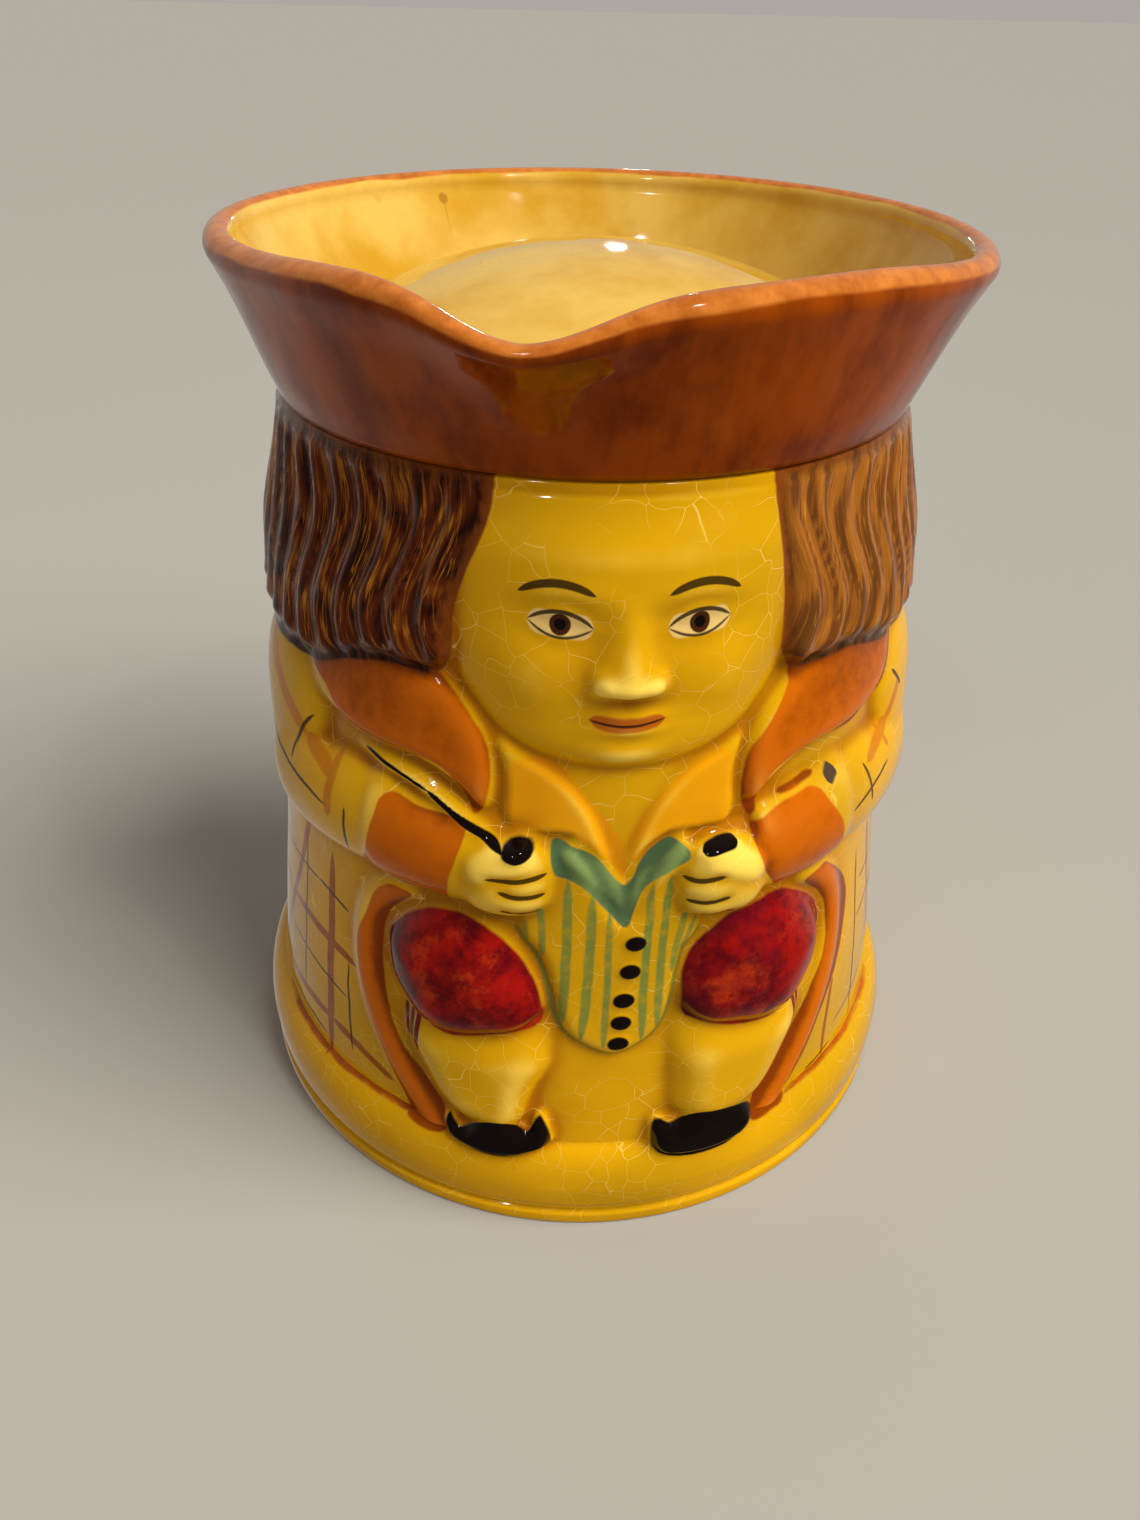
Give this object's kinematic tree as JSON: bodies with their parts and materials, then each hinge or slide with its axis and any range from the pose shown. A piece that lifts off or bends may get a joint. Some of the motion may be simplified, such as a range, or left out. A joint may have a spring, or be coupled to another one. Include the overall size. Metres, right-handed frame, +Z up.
{
  "type": "character cookie jar",
  "caption": "Glazed pottery cookie jar cast as a seated old-time gentleman with long hair, coat and stockings; its lid is a tricorn hat with a drawn-out lip.",
  "frame": {"origin": "centre of the ring foot, on the surface that the jar stands on", "axes": "+Z up the jar's axis, -Y towards the seated figure's front, +X towards the viewer's right when facing the figure"},
  "size_m": [0.2212, 0.2224, 0.2673],
  "materials": {
    "painted_glaze": "glossy amber glaze over hand-painted brown, green, red and black, finely crazed",
    "hat_glaze": "glossy chestnut brown outside, glossy amber inside the brim and on the crown"
  },
  "bodies": {
    "root": {"jar": "painted_glaze", "hat_lid": "hat_glaze"}
  },
  "joints": []
}
